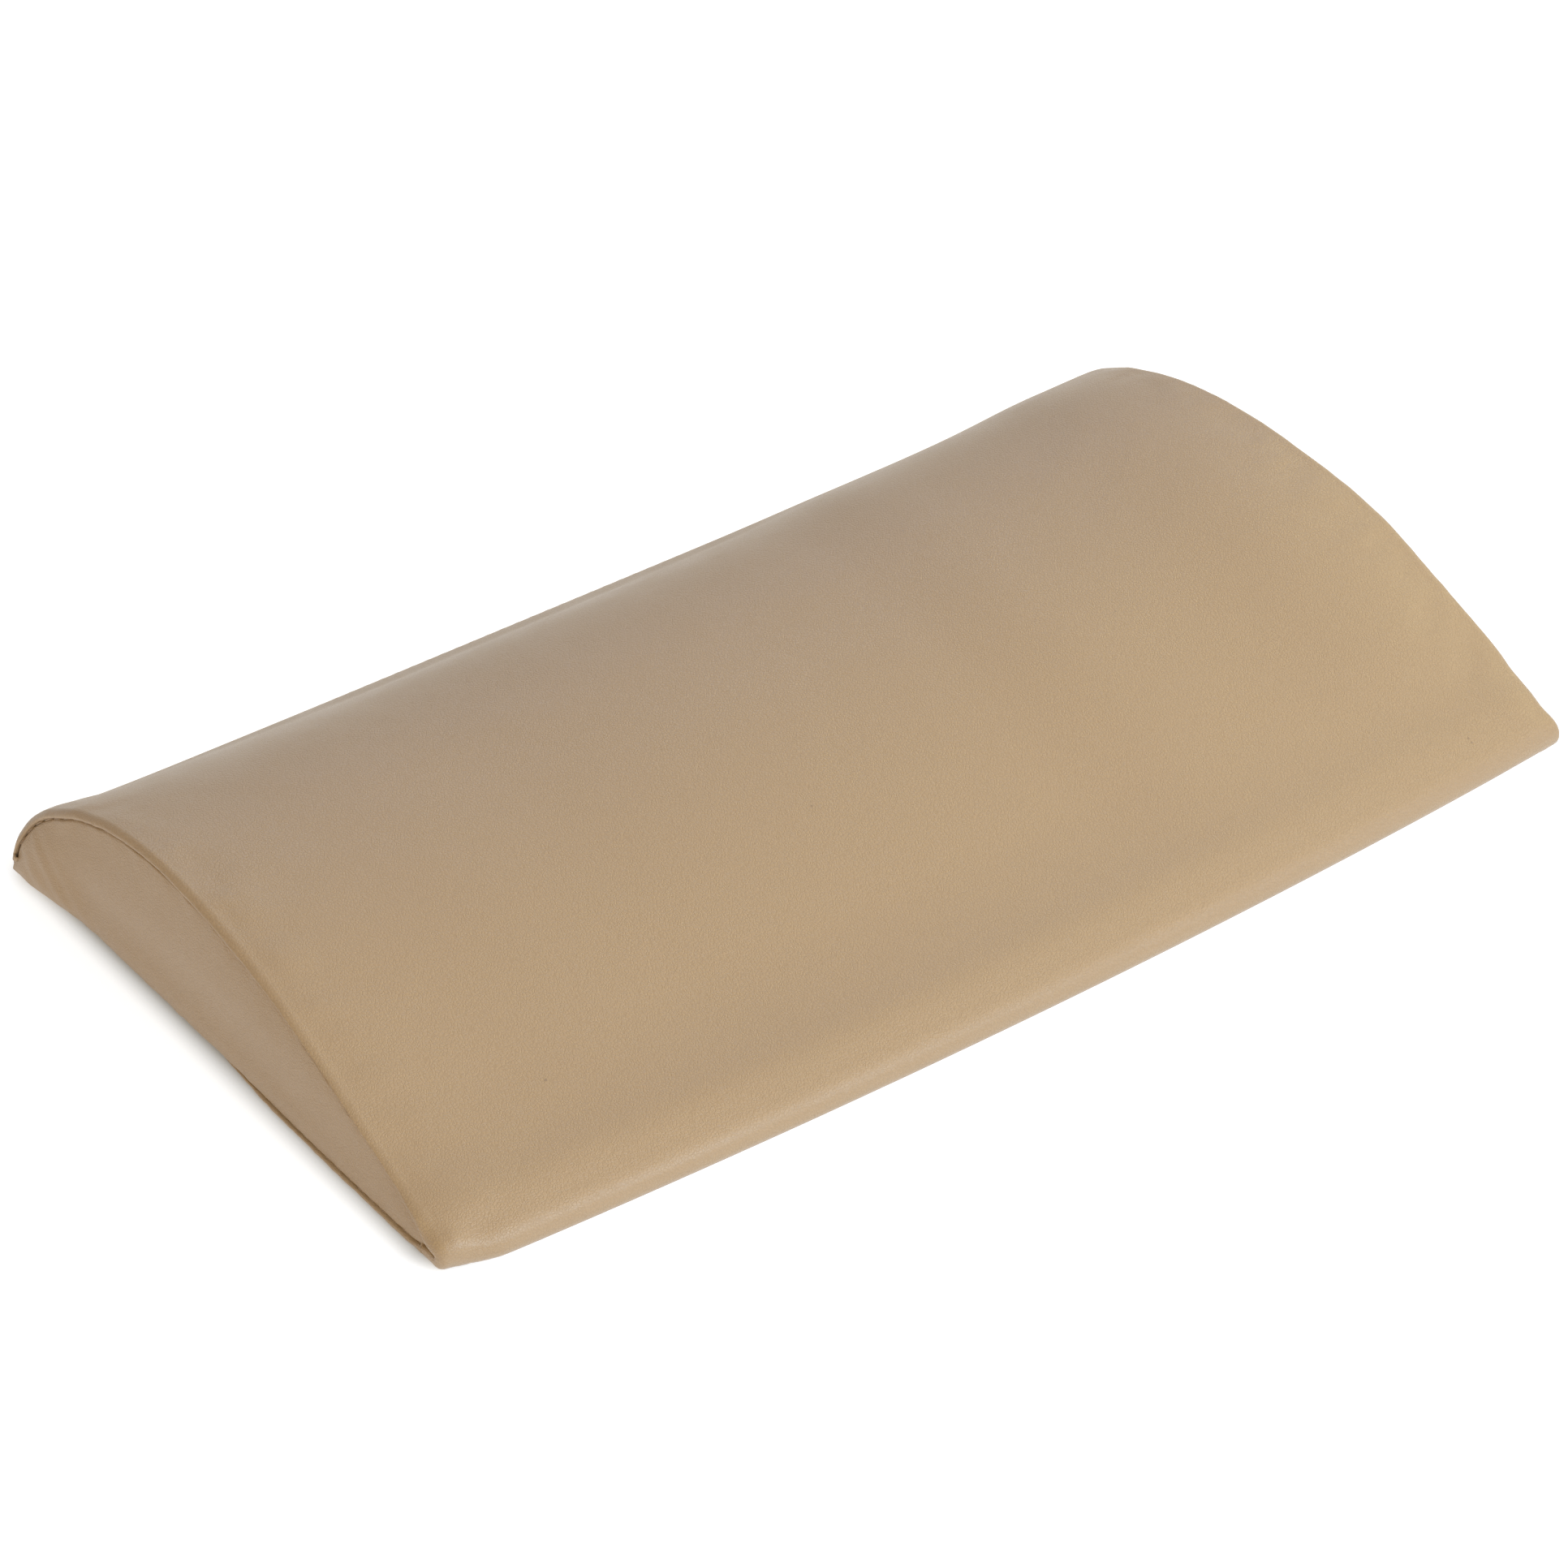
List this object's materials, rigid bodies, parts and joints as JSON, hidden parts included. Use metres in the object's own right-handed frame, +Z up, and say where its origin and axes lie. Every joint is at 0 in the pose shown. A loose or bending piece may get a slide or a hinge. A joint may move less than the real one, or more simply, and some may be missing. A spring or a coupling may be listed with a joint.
{
  "type": "lumbar support cushion",
  "caption": "Wedge-shaped lumbar cushion with a rounded back hump, a thin front edge, a sewn leatherette cover and a coil zip with a sliding pull along its low back edge.",
  "frame": {"origin": "middle of the flat underside, on the surface that the cushion lies on", "axes": "+X along the cushion's length, +Y from the thin front edge to the zipped back edge, +Z up from the underside to the hump"},
  "size_m": [0.34, 0.2003, 0.0386],
  "materials": {
    "leatherette": "satin",
    "foam": "matte",
    "wadding": "matte",
    "thread": "satin",
    "zip_tape": "matte",
    "zip_coil": "satin",
    "zip_metal": "satin"
  },
  "bodies": {
    "cushion": {"foam_core": "foam", "wadding_wrap": "wadding", "cover_top_panel": "leatherette", "cover_bottom_panel": "leatherette", "cover_end_panel_left": "leatherette", "cover_end_panel_right": "leatherette", "seam_thread_arch_left": "thread", "seam_thread_arch_right": "thread", "seam_thread_base_left": "thread", "seam_thread_base_right": "thread", "seam_thread_front": "thread", "edge_stitch_upper": "thread", "edge_stitch_lower": "thread", "zip_tape_upper": "zip_tape", "zip_tape_lower": "zip_tape", "zip_coil_upper": "zip_coil", "zip_coil_lower": "zip_coil", "zip_top_stop_upper": "zip_metal", "zip_top_stop_lower": "zip_metal", "zip_bottom_stop": "zip_metal"},
    "slider": {"zip_slider_body": "zip_metal"},
    "pull": {"zip_pull_tab": "zip_metal"}
  },
  "joints": [
    {"name": "slider_travel", "type": "slide", "parent": "cushion", "child": "slider", "axis": [-1, 0, 0], "range_m": [0, 0.317]},
    {"name": "pull_tab_swing", "type": "hinge", "parent": "slider", "child": "pull", "pos_m": [0.1587, 0.09972, 0.0074], "axis": [0, 0.342, -0.9397], "range_deg": [0, 180]}
  ]
}
